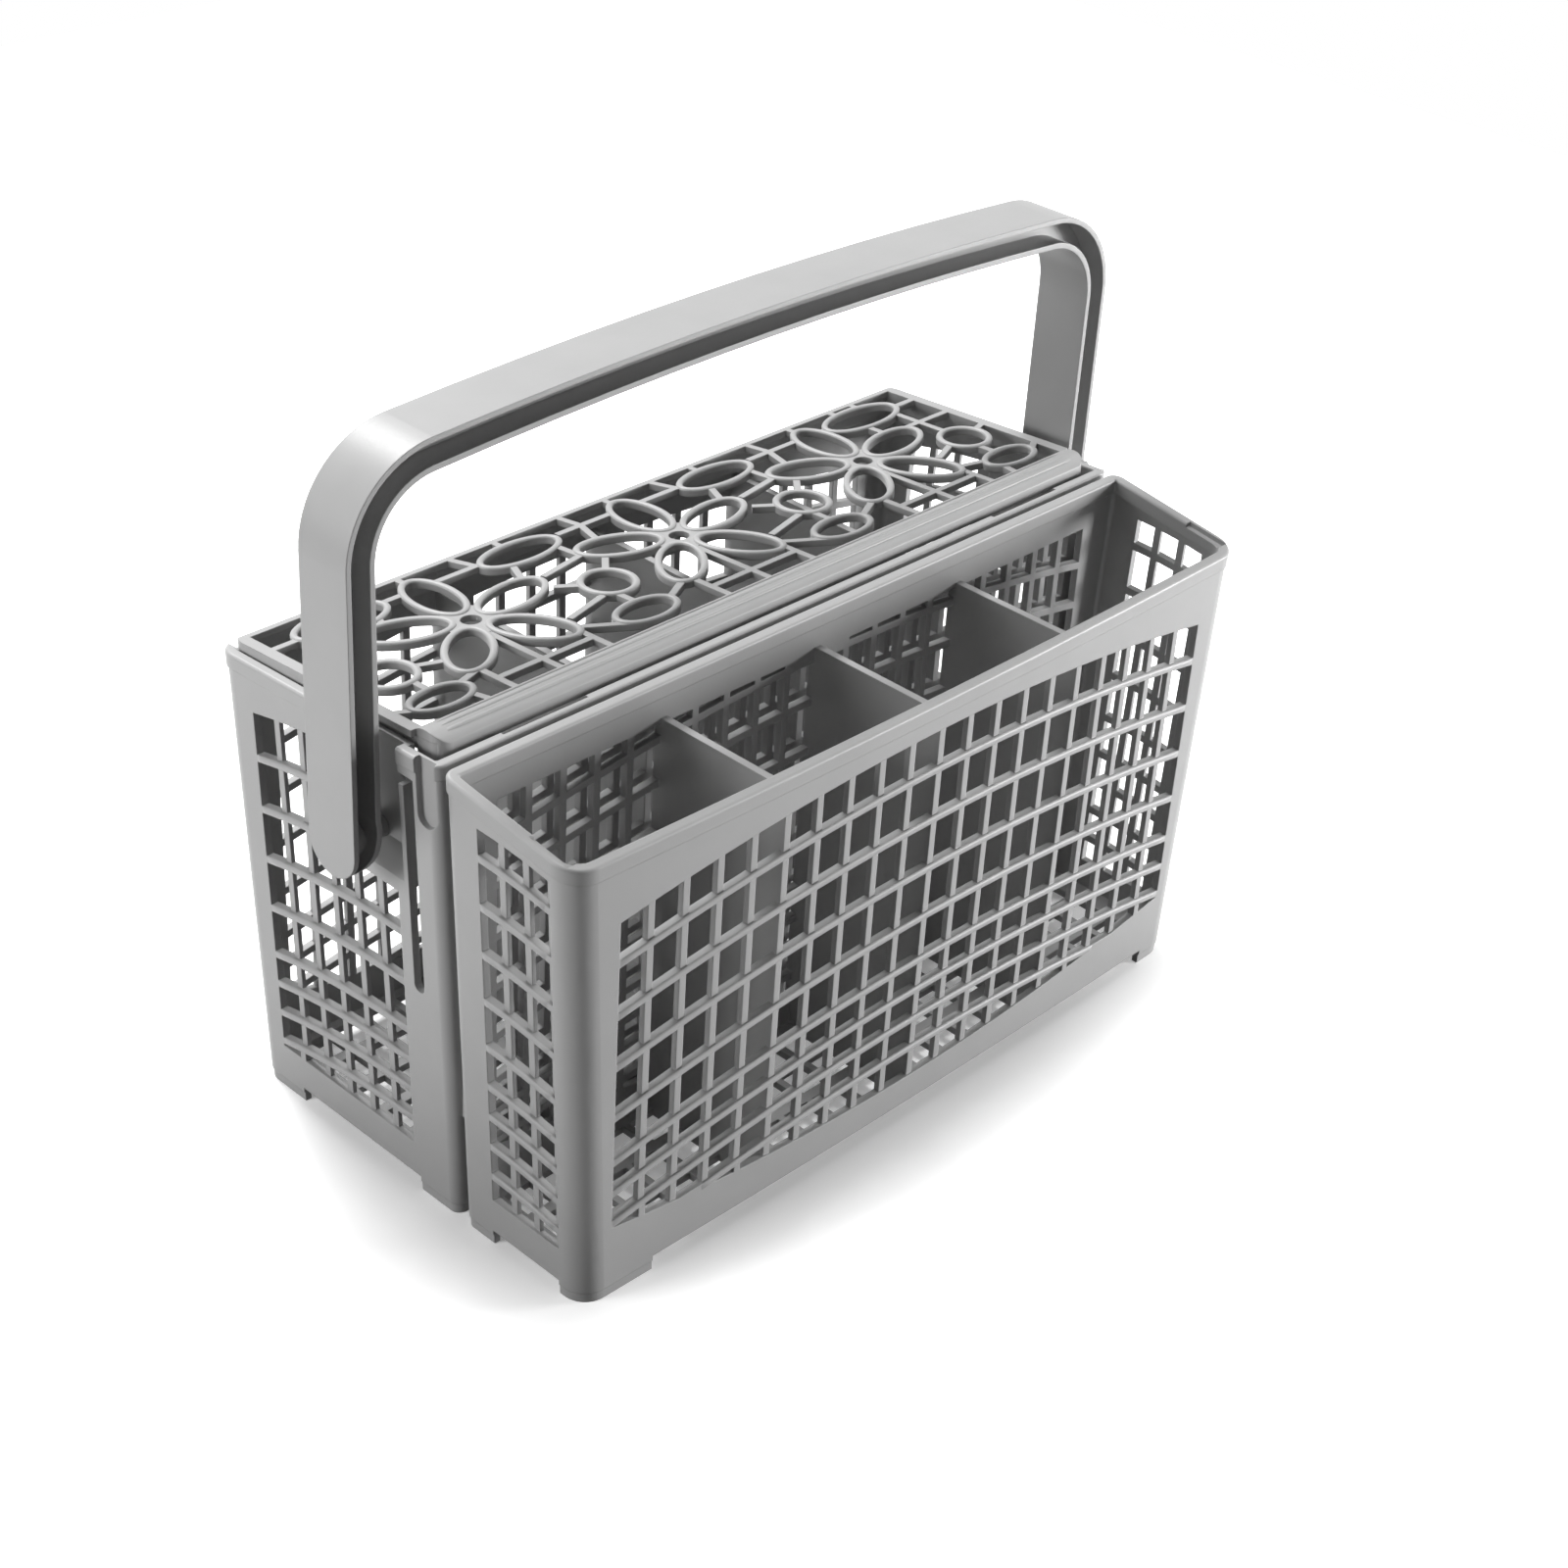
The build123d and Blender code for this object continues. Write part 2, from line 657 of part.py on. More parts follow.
def plan(y0, y1, half, corner, far_side):
    """Upright plug over a rectangle of the lid's plane, two of its corners rounded."""
    outline = Pos(0, (y0 + y1) / 2) * Rectangle(2 * half, y1 - y0)
    outline = fillet(outline.vertices().group_by(Axis.Y)[far_side], corner)
    return Pos(0, 0, 1 + lip_rise) * extrude(outline, -far)


def build_lip():
    """Finger lip along the lid's front: rolled down, with round ends."""
    front, back, inner = lid_front, lid_panel_front, lid_front + lid_skirt_wall
    edges = [Edge.make_three_point_arc((-lip_half, back, 0), (-lip_half, (front + back) / 2, lip_rise),
                                       (-lip_half, front, -lid_thick))]
    turns = [(front, -lid_thick), (front, -lip_drop), (inner, -lip_drop), (inner, -lid_thick),
             (back, -lid_thick), (back, 0)]
    edges += [Edge.make_line((-lip_half, *a), (-lip_half, *b)) for a, b in zip(turns[:-1], turns[1:])]
    lip = Solid.extrude(Face(Wire(edges)), Vector(2 * lip_half, 0, 0))
    return lip & plan(front, back, lip_half, lip_corner, 0)


def build_lid():
    """Lid with a lattice panel, side skirts, a finger lip and a hinge barrel with pins."""
    rear = hinge_local_y + hinge_radius
    opening_rear = rear - lid_rear_border
    plate = Pos(0, (hinge_local_y + lid_panel_front) / 2)
    plate *= Rectangle(2 * lid_half, hinge_local_y - lid_panel_front)
    opening = Pos(0, (opening_rear + lid_panel_front) / 2)
    opening *= Rectangle(2 * (lid_half - lid_border), opening_rear - lid_panel_front)
    panel = extrude(plate - opening + lattice(opening), -lid_thick)
    barrel = rod(-lid_half, lid_half, hinge_local_y, -hinge_radius, hinge_radius)
    barrel &= block(-far, far, hinge_local_y, far, -far, far)
    skirt_inside = lid_skirt_half - lid_skirt_wall
    skirt = block(skirt_inside, lid_skirt_half, lid_panel_front, hinge_local_y, -lid_skirt, 0)
    behind_pocket = pocket_rear + pocket_wall + lid_skirt * lid_slope + lid_room
    side = block(skirt_inside, lid_half, behind_pocket, hinge_local_y, -lid_skirt, 0)
    body = panel + barrel + both_ends(skirt) + both_ends(side)
    body &= plan(lid_panel_front, rear, lid_half, lid_corner, -1)
    pin = rod(skirt_inside, lid_half + hinge_pin_reach, hinge_local_y, -hinge_radius, hinge_pin)
    return lid_place() * (body + build_lip() + both_ends(pin))


os.makedirs("parts", exist_ok=True)
for name, build in (("rear_basket", build_rear_basket), ("front_basket", build_front_basket),
                    ("lid", build_lid), ("handle", build_handle)):
    export_step(build(), f"parts/{name}.step")
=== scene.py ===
import logging
from dataclasses import dataclass, field
from enum import Enum
from typing import Any, Callable

import bpy
import numpy as np
from mathutils import Matrix, Vector


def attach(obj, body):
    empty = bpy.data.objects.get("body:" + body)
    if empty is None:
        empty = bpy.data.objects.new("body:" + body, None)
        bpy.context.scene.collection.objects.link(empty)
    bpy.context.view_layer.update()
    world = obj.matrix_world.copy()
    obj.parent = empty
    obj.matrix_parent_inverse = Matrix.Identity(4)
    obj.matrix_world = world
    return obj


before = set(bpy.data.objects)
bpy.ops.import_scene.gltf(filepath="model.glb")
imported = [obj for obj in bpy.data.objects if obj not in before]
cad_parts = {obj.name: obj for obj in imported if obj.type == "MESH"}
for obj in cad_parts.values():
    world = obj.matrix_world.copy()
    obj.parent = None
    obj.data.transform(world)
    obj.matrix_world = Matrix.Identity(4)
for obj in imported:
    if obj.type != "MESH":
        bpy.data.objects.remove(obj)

log = logging.getLogger("cutlery_basket")
Grid = tuple[np.ndarray, bool]
MM = 0.001
WHITE = "ffffff"
SRGB_KNEE = 0.04045
SRGB_SLOPE = 12.92
SRGB_OFFSET = 0.055
SRGB_POWER = 2.4


class Node(Enum):
    """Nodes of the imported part."""

    REAR = "rear_basket"
    FRONT = "front_basket"
    LID = "lid"
    HANDLE = "handle"


class Body(Enum):
    """Bodies that pieces ride on."""

    BASKET = "basket"
    LID = "lid"


class End(Enum):
    """The two ends of the basket, as a sign along X."""

    LEFT = -1
    RIGHT = 1


class Side(Enum):
    """The two long sides of the basket, as a sign along Y."""

    FRONT = -1
    REAR = 1


def linear(hex_colour: str) -> tuple[float, float, float, float]:
    """Turns an sRGB hex colour into linear light.

    Args:
        hex_colour: Six hex digits.

    Returns:
        Linear red, green, blue and an alpha of one.
    """
    srgb = np.array([int(hex_colour[i:i + 2], 16) / 255 for i in (0, 2, 4)])
    curve = ((srgb + SRGB_OFFSET) / (1 + SRGB_OFFSET)) ** SRGB_POWER
    lin = np.where(srgb <= SRGB_KNEE, srgb / SRGB_SLOPE, curve)
    return (*(float(v) for v in lin), 1.0)


class NodeTree:
    """A node tree and the one way nodes get into it.

    Attributes:
        MIX_FIRST: Number of the mix node's input for its first colour.
        MIX_SECOND: Number of its input for the second colour.
        MIX_RESULT: Number of its output for the blended colour.
    """

    MIX_FIRST = 6
    MIX_SECOND = 7
    MIX_RESULT = 2

    def __init__(self, owner: Any) -> None:
        """Empties the tree of a material or a world.

        Args:
            owner: The material or world.
        """
        owner.use_nodes = True
        self.tree = owner.node_tree
        self.tree.nodes.clear()

    def add(self, kind: str, settings: dict[str, Any] | None = None,
            inputs: dict[Any, Any] | None = None) -> Any:
        """Adds one node, sets it up and links it.

        Args:
            kind: Blender's node type.
            settings: Attributes of the node.
            inputs: Socket name or number to a constant or to another node's output.

        Returns:
            The new node.
        """
        node = self.tree.nodes.new(kind)
        for key, value in (settings or {}).items():
            setattr(node, key, value)
        for key, value in (inputs or {}).items():
            if isinstance(value, bpy.types.NodeSocket):
                self.tree.links.new(value, node.inputs[key])
            else:
                node.inputs[key].default_value = value
        return node

    def blend(self, factor: Any, first: str, second: str) -> Any:
        """Adds a blend of two colours.

        Args:
            factor: Socket with the second colour's share.
            first: First colour in sRGB hex.
            second: Second colour in sRGB hex.

        Returns:
            The socket with the blended colour.
        """
        mix = self.add("ShaderNodeMix", {"data_type": "RGBA"},
                       {"Factor": factor, self.MIX_FIRST: linear(first), self.MIX_SECOND: linear(second)})
        return mix.outputs[self.MIX_RESULT]

    def background_ray(self) -> Any:
        """Adds what tells rays that show the background from rays that light the object.

        Returns:
            A socket that is one for camera, glossy and transmission rays and zero for others.
        """
        path = self.add("ShaderNodeLightPath").outputs
        seen = self.add("ShaderNodeMath", {"operation": "ADD"},
                        {0: path["Is Camera Ray"], 1: path["Is Glossy Ray"]})
        return self.add("ShaderNodeMath", {"operation": "ADD", "use_clamp": True},
                        {0: seen.outputs[0], 1: path["Is Transmission Ray"]}).outputs[0]


@dataclass(frozen=True)
class MouldedPlastic:
    """Injection-moulded polypropylene with an eroded mould texture.

    Attributes:
        name: The material's name.
        colour: Main colour in sRGB hex.
        shade: Colour of the faint flow marks.
        rough: Roughness of the surface.
        sheen: How far the grain takes the roughness down and up.
        grain_mm: Size of the mould texture's grain.
        grain_detail: Finer levels in the grain.
        flow_mm: Size of the flow marks.
        flow_detail: Finer levels in the flow marks.
        flow_rough: Weight of those finer levels.
        relief_mm: Depth of the grain.
        relief_share: How strongly that depth shows.
        round_mm: Radius of the moulded edges.
        round_samples: Rays that look for an edge.
        refraction: Index of refraction.
        specular: Level of the mirror-like reflection.
    """

    name: str = "moulded polypropylene, satin grey"
    colour: str = "a9a9a9"
    shade: str = "9f9f9f"
    rough: float = 0.42
    sheen: tuple[float, float] = (-0.06, 0.08)
    grain_mm: float = 0.5
    grain_detail: float = 1.0
    flow_mm: float = 16.0
    flow_detail: float = 3.0
    flow_rough: float = 0.55
    relief_mm: float = 0.03
    relief_share: float = 0.35
    round_mm: float = 0.45
    round_samples: int = 6
    refraction: float = 1.49
    specular: float = 0.45

    def make(self) -> bpy.types.Material:
        """Builds the material.

        Returns:
            The finished material.
        """
        material = bpy.data.materials.new(self.name)
        kit = NodeTree(material)
        place = kit.add("ShaderNodeTexCoord").outputs["Object"]
        flow = kit.add("ShaderNodeTexNoise", {"noise_dimensions": "3D"},
                       {"Vector": place, "Scale": 1 / (self.flow_mm * MM), "Detail": self.flow_detail,
                        "Roughness": self.flow_rough})
        grain = kit.add("ShaderNodeTexNoise", {"noise_dimensions": "3D"},
                        {"Vector": place, "Scale": 1 / (self.grain_mm * MM), "Detail": self.grain_detail})
        tint = kit.blend(flow.outputs["Fac"], self.colour, self.shade)
        smoother, rougher = self.sheen
        sheen = kit.add("ShaderNodeMapRange", None,
                        {"Value": grain.outputs["Fac"], "To Min": self.rough + smoother,
                         "To Max": self.rough + rougher})
        edge = kit.add("ShaderNodeBevel", {"samples": self.round_samples}, {"Radius": self.round_mm * MM})
        bump = kit.add("ShaderNodeBump", None,
                       {"Strength": self.relief_share, "Distance": self.relief_mm * MM,
                        "Height": grain.outputs["Fac"], "Normal": edge.outputs["Normal"]})
        shader = kit.add("ShaderNodeBsdfPrincipled", None,
                         {"Base Color": tint, "Roughness": sheen.outputs["Result"], "IOR": self.refraction,
                          "Specular IOR Level": self.specular, "Normal": bump.outputs["Normal"]})
        kit.add("ShaderNodeOutputMaterial", None, {"Surface": shader.outputs["BSDF"]})
        return material


@dataclass(frozen=True)
class PaleFloor:
    """Seamless pale paper under the object.

    Seen directly it is white and keeps the object's shadow, and its white glow is painted lower in an oval
    around the object, which is a painted shadow there. What it throws back at the object is less, so that
    the insides stay dark.

    Attributes:
        paper: Colour of the paper in sRGB hex as it is seen.
        bounce: Colour of the paper in sRGB hex for the light that it throws back.
        glow: Strength of the white that fills the paper's own shade, under the object and far from it; the
            lower strength under the object is a painted shadow.
        half_mm: Half sizes of the oval around the object that the glow is counted from.
        fade: How many times that oval's size the glow starts to rise at and is full at.
        fibre_mm: Size of the paper's fibre texture.
        rough: Lowest and highest roughness of the fibres.
    """

    paper: str = "f4f4f4"
    bounce: str = "484848"
    glow: tuple[float, float] = (0.2, 0.95)
    half_mm: tuple[float, float] = (115.0, 65.0)
    fade: tuple[float, float] = (1.0, 1.8)
    fibre_mm: float = 3.0
    rough: tuple[float, float] = (0.8, 0.95)

    def make(self) -> bpy.types.Material:
        """Builds the material.

        Returns:
            The finished material.
        """
        material = bpy.data.materials.new("seamless paper")
        kit = NodeTree(material)
        place = kit.add("ShaderNodeTexCoord").outputs["Object"]
        fibre = kit.add("ShaderNodeTexNoise", None, {"Vector": place, "Scale": 1 / (self.fibre_mm * MM)})
        sheen = kit.add("ShaderNodeMapRange", None,
                        {"Value": fibre.outputs["Fac"], "To Min": self.rough[0], "To Max": self.rough[1]})
        seen = kit.background_ray()
        colour = kit.blend(seen, self.bounce, self.paper)
        # Painted shadow: the glow is lowest in an oval around the object and rises to full away from it.
        share = kit.add("ShaderNodeVectorMath", {"operation": "MULTIPLY"},
                        {0: place, 1: (*(1 / (half * MM) for half in self.half_mm), 0.0)})
        far = kit.add("ShaderNodeVectorMath", {"operation": "LENGTH"}, {0: share.outputs["Vector"]})
        rise = kit.add("ShaderNodeMapRange", {"interpolation_type": "SMOOTHSTEP"},
                       {"Value": far.outputs["Value"], "From Min": self.fade[0], "From Max": self.fade[1],
                        "To Min": self.glow[0], "To Max": self.glow[1]})
        glow = kit.add("ShaderNodeMath", {"operation": "MULTIPLY"}, {0: seen, 1: rise.outputs["Result"]})
        shader = kit.add("ShaderNodeBsdfPrincipled", None,
                         {"Base Color": colour, "Roughness": sheen.outputs["Result"],
                          "Specular IOR Level": 0.0, "Emission Color": linear(WHITE),
                          "Emission Strength": glow.outputs[0]})
        kit.add("ShaderNodeOutputMaterial", None, {"Surface": shader.outputs["BSDF"]})
        return material


@dataclass(frozen=True)
class Lamp:
    """One soft square light.

    Attributes:
        name: The light's name.
        place: Position in metres.
        size: Side of the square in metres.
        power: Power in watts.
        aim: Point that it faces, in metres.
    """

    name: str
    place: tuple[float, float, float]
    size: float
    power: float
    aim: tuple[float, float, float] = (0.0, 0.0, 0.08)

    def build(self) -> None:
        """Adds the light to the scene."""
        data = bpy.data.lights.new(self.name, "AREA")
        data.size = self.size
        data.energy = self.power
        lamp = bpy.data.objects.new(self.name, data)
        lamp.location = self.place
        ray = Vector(self.aim) - Vector(self.place)
        lamp.rotation_euler = ray.to_track_quat("-Z", "Y").to_euler()
        bpy.context.scene.collection.objects.link(lamp)


@dataclass
class Studio:
    """Floor, lights and the photo's camera.

    Attributes:
        yaw: Camera heading from +Y towards +X, in radians.
        pitch: Downward tilt in radians.
        roll: Camera roll in radians.
        shift_mm: Offset of the aim point across and up the picture.
        distance_mm: Distance from the aim point.
        focal_px: Focal length in pixels of the photo.
        photo_px: Side of the photo in pixels.
        sensor_mm: Width of the camera's sensor.
        clip_m: Nearest and farthest distance that the camera sees.
        aim_mm: Point that the camera looks at.
        floor_half_m: Half of the floor's side.
        ambient: Strength of the world's light on the object.
        lamps: The lights.
    """

    yaw: float = 0.835515
    pitch: float = 0.558788
    roll: float = 0.066725
    shift_mm: tuple[float, float] = (-9.4424, -3.8374)
    distance_mm: float = 711.32
    focal_px: float = 2850.36
    photo_px: int = 1600
    sensor_mm: float = 36.0
    clip_m: tuple[float, float] = (0.01, 20.0)
    aim_mm: tuple[float, float, float] = (0.0, 0.0, 65.0)
    floor_half_m: float = 0.8
    ambient: float = 0.05
    lamps: tuple[Lamp, ...] = (
        Lamp("rear_top", place=(0.1, 0.85, 1.2), size=0.45, power=19.0),
        Lamp("overhead", place=(0.2, 0.12, 1.6), size=0.35, power=11.0),
        Lamp("left", place=(-0.515, 0.15, 0.22), size=0.2, power=1.5, aim=(-0.115, 0.0, 0.07)),
        Lamp("front_right", place=(0.75, -0.65, 0.15), size=0.28, power=12.0, aim=(0.08, -0.06, 0.07)),
    )

    def camera(self) -> None:
        """Places the camera where the photo was taken."""
        heading = np.array([np.sin(self.yaw) * np.cos(self.pitch),
                            np.cos(self.yaw) * np.cos(self.pitch),
                            -np.sin(self.pitch)])
        level = np.array([np.cos(self.yaw), -np.sin(self.yaw), 0.0])
        upright = np.cross(level, heading)
        right = np.cos(self.roll) * level + np.sin(self.roll) * upright
        up = -np.sin(self.roll) * level + np.cos(self.roll) * upright
        place = np.array(self.aim_mm) - heading * self.distance_mm
        place -= right * self.shift_mm[0] + up * self.shift_mm[1]
        data = bpy.data.cameras.new("camera")
        data.sensor_width = self.sensor_mm
        data.lens = self.focal_px / self.photo_px * self.sensor_mm
        data.clip_start, data.clip_end = self.clip_m
        cam = bpy.data.objects.new("camera", data)
        turn = Matrix((right, up, -heading)).transposed()
        cam.matrix_world = Matrix.Translation(Vector(place * MM)) @ turn.to_4x4()
        bpy.context.scene.collection.objects.link(cam)
        bpy.context.scene.camera = cam

    def world(self) -> None:
        """Makes the world white where it is seen and dim where it lights the object."""
        world = bpy.data.worlds.new("studio")
        kit = NodeTree(world)
        seen = kit.background_ray()
        strength = kit.add("ShaderNodeMapRange", None,
                           {"Value": seen, "To Min": self.ambient, "To Max": 1.0})
        sky = kit.add("ShaderNodeBackground", None,
                      {"Color": linear(WHITE), "Strength": strength.outputs["Result"]})
        kit.add("ShaderNodeOutputWorld", None, {"Surface": sky.outputs["Background"]})
        bpy.context.scene.world = world

    def floor(self) -> None:
        """Lays the paper, a flat square around the origin."""
        half = self.floor_half_m
        square = [(-half, -half, 0), (half, -half, 0), (half, half, 0), (-half, half, 0)]
        mesh = bpy.data.meshes.new("floor")
        mesh.from_pydata(square, [], [(0, 1, 2, 3)])
        floor = bpy.data.objects.new("floor", mesh)
        bpy.context.scene.collection.objects.link(floor)
        mesh.materials.append(PaleFloor().make())

    def build(self) -> None:
        """Builds the floor, the lights, the world and the camera."""
        self.floor()
        for lamp in self.lamps:
            lamp.build()
        self.world()
        bpy.context.scene.view_settings.view_transform = "Standard"
        self.camera()


@dataclass
class Crown:
    """Half-round crown that runs along a moulded bar.

    Attributes:
        width: Width across the bar in mm.
        rise: Height over the bar's face in mm.
        sunk: Depth of its edges under the face in mm.
        taper: Length in mm over which its ends fall to the face.
        sides: Faces across it.
    """

    width: float
    rise: float
    sunk: float = 0.05
    taper: float = 1.5
    sides: int = 8

    def along(self, path: np.ndarray, out: np.ndarray, closed: bool = False) -> Grid:
        """Sweeps the crown's half ellipse along a path.

        A point at the share s of the path and the angle a of the half ellipse is the
        path's point, moved across by cos(a) times half the width and outwards by
        sin(a) times the rise, counted from the sunk edges. Near open ends the rise
        falls off like a quarter circle.

        Args:
            path: Points along the bar's face in mm, one row each.
            out: Outward direction of the face, for all points or for each.
            closed: Whether the path runs back into its first point.

        Returns:
            The grid of points, path by angle, and whether it is closed.
        """
        out = np.broadcast_to(out, path.shape)
        if closed:
            way = np.roll(path, -1, axis=0) - np.roll(path, 1, axis=0)
            swell = np.ones(len(path))
        else:
            way = np.gradient(path, axis=0)
            run = np.concatenate([[0.0], np.cumsum(np.linalg.norm(np.diff(path, axis=0), axis=1))])
            near = np.clip(np.minimum(run, run[-1] - run) / self.taper, 0.0, 1.0)
            swell = np.sqrt(1 - (1 - near) ** 2)
        side = np.cross(way, out)
        side /= np.linalg.norm(side, axis=1, keepdims=True)
        angle = np.linspace(0.0, np.pi, self.sides + 1)
        across = side[:, None, :] * (np.cos(angle) * self.width / 2)[None, :, None]
        height = swell[:, None] * np.sin(angle)[None, :] * (self.rise + self.sunk) - self.sunk
        return path[:, None, :] + across + out[:, None, :] * height[:, :, None], closed


def grid_object(name: str, grids: list[Grid], material: bpy.types.Material,
                body: Body) -> bpy.types.Object:
    """Joins grids of points into one piece and lets it ride on a body.

    Args:
        name: The piece's name.
        grids: Points in mm and whether the first direction closes, one pair a surface.
        material: The piece's material.
        body: What it rides on.

    Returns:
        The new object.
    """
    points, faces, start = [], [], 0
    for grid, closed in grids:
        length, width = grid.shape[:2]
        rows = np.arange(length if closed else length - 1)[:, None]
        columns = np.arange(width - 1)[None, :]
        here = (rows * width + columns).ravel()
        there = ((rows + 1) % length * width + columns).ravel()
        faces.append(np.stack([here, there, there + 1, here + 1], axis=1) + start)
        points.append(grid.reshape(-1, 3))
        start += length * width
    coords = np.concatenate(points) * MM
    quads = np.concatenate(faces)
    mesh = bpy.data.meshes.new(name)
    mesh.from_pydata(coords.tolist(), [], quads.tolist())
    mesh.polygons.foreach_set("use_smooth", np.ones(len(quads), dtype=bool))
    mesh.materials.append(material)
    piece = bpy.data.objects.new(name, mesh)
    bpy.context.scene.collection.objects.link(piece)
    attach(piece, body.value)
    return piece


def sag(radius: float, u: np.ndarray) -> np.ndarray:
    """Drop of an arc from its highest point at the distance u, all in mm."""
    return radius - np.sqrt(radius * radius - u * u)


@dataclass
class Rows:
    """Heights of the arched bars of one grille, in mm at their highest point.

    Attributes:
        first: Height of the upper rows' first bar.
        pitch: Distance of the upper rows.
        upper: Number of upper rows.
        lower_first: Height of the lower rows' first bar.
        lower_pitch: Distance of the lower rows.
        lower: Number of lower rows.
    """

    first: float
    pitch: float
    upper: int
    lower_first: float = 48.4
    lower_pitch: float = 9.0
    lower: int = 4

    def heights(self) -> list[float]:
        """Lists the heights from the top down."""
        top = [self.first - self.pitch * i for i in range(self.upper)]
        return top + [self.lower_first - self.lower_pitch * i for i in range(self.lower)]


@dataclass
class Shell:
    """Outer faces that both baskets share, in mm.

    Attributes:
        rim_length: Length at the front rim.
        rim_height: Height of the front rim.
        draft: How far each end wall leans in at the floor.
        rim_step: How far the wall's face lies behind the rim's face.
        bar: Width of a grille bar.
        crown: Crown of a grille bar.
    """

    rim_length: float = 231.0
    rim_height: float = 122.4
    draft: float = 5.4
    rim_step: float = 0.4
    bar: float = 2.0
    crown: Crown = field(default_factory=lambda: Crown(width=1.9, rise=0.38))

    def end_x(self, z: np.ndarray) -> np.ndarray:
        """Distance of an end wall's face from the middle at the height z."""
        return self.rim_length / 2 - self.draft * (1 - z / self.rim_height) - self.rim_step

    def end_bar(self, end: End, span: tuple[float, float], top: float, arc: float, peak: float = 0.0,
                steps: int = 24) -> Grid:
        """Crown of one arched bar on an end wall.

        The bar's middle is a circle's arc: at each depth it lies under its highest
        point by the arc's drop at the distance from that point.

        Args:
            end: Which end.
            span: Depths where the bar starts and ends.
            top: Height of its highest point.
            arc: Radius of its arc.
            peak: Depth of its highest point.
            steps: Points along it.

        Returns:
            The crown's grid.
        """
        y = np.linspace(*span, steps)
        z = top - sag(arc, y - peak)
        lean = self.draft / self.rim_height
        out = np.array([end.value, 0.0, -lean]) / np.hypot(1.0, lean)
        return self.crown.along(np.stack([end.value * self.end_x(z), y, z], axis=1), out)


@dataclass
class LongGrille:
    """Grille of an outer long wall, in mm.

    Attributes:
        rows: Heights of its bars.
        arc: Radius of the bars' arcs.
        half: Half of its length.
        lens_bottom: Lower edge in the middle.
        lens_rise: Rise of the lower edge at lens_half.
        lens_half: Where that rise is measured.
        steps: Points along a bar.
    """

    rows: Rows = field(default_factory=lambda: Rows(first=103.4, pitch=14.05, upper=4))
    arc: float = 569.0
    half: float = 101.5
    lens_bottom: float = 12.5
    lens_rise: float = 3.1
    lens_half: float = 64.0
    steps: int = 120

    def crowns(self, crown: Crown, face: Callable[[np.ndarray, np.ndarray], np.ndarray],
               side: Side) -> list[Grid]:
        """Crowns of all the bars, as far as each runs clear of the lower edge.

        A bar is a circle's arc, highest in the middle. The lower edge is a parabola,
        lowest in the middle.

        Args:
            crown: The crown's section.
            face: Depth of the wall's face at each place along X and Z.
            side: Which long side the wall is on.

        Returns:
            One grid for each bar.
        """
        grids = []
        reach = np.linspace(0.0, self.half, self.steps)
        lower_edge = self.lens_bottom + self.lens_rise * (reach / self.lens_half) ** 2
        for top in self.rows.heights():
            half = reach[top - sag(self.arc, reach) > lower_edge].max()
            x = np.linspace(-half, half, self.steps)
            z = top - sag(self.arc, x)
            path = np.stack([x, face(x, z), z], axis=1)
            grids.append(crown.along(path, np.array([0.0, side.value, 0.0])))
        return grids


@dataclass
class FrontBasket:
    """Shallow basket in front.

    Attributes:
        shell: Faces that it shares with the rear basket.
        front_y: Depth of the front rim's middle in mm.
        bow: How far the front wall bows out in mm.
        end_rows: Bars of its end walls.
        end_arc: Radius of their arcs in mm.
        end_from: Depth where they start, at their highest point, in mm.
        end_to: Depth where they end in mm.
    """

    shell: Shell
    front_y: float = -62.0
    bow: float = 1.6
    end_rows: Rows = field(default_factory=lambda: Rows(first=111.8, pitch=13.0, upper=5))
    end_arc: float = 142.0
    end_from: float = -28.4
    end_to: float = -51.8

    def face_y(self, x: np.ndarray, z: np.ndarray) -> np.ndarray:
        """Depth of the bowed front wall's face at each x, the same at every z."""
        radius = (self.shell.rim_length ** 2 / 4 + self.bow ** 2) / (2 * self.bow)
        return self.front_y + radius - np.sqrt((radius - self.shell.rim_step) ** 2 - x * x)

    def build(self, material: bpy.types.Material) -> list[bpy.types.Object]:
        """Dresses the basket and crowns its bars.

        Args:
            material: Its plastic.

        Returns:
            The new pieces.
        """
        dress(Node.FRONT, material)
        wall = LongGrille().crowns(self.shell.crown, self.face_y, Side.FRONT)
        inset = self.shell.bar / 2
        span = (self.end_from - inset, self.end_to + inset)
        ends = [self.shell.end_bar(end, span, top, self.end_arc, self.end_from)
                for end in End for top in self.end_rows.heights()]
        return [grid_object("front_wall_bar_crowns", wall, material, Body.BASKET),
                grid_object("front_end_bar_crowns", ends, material, Body.BASKET)]


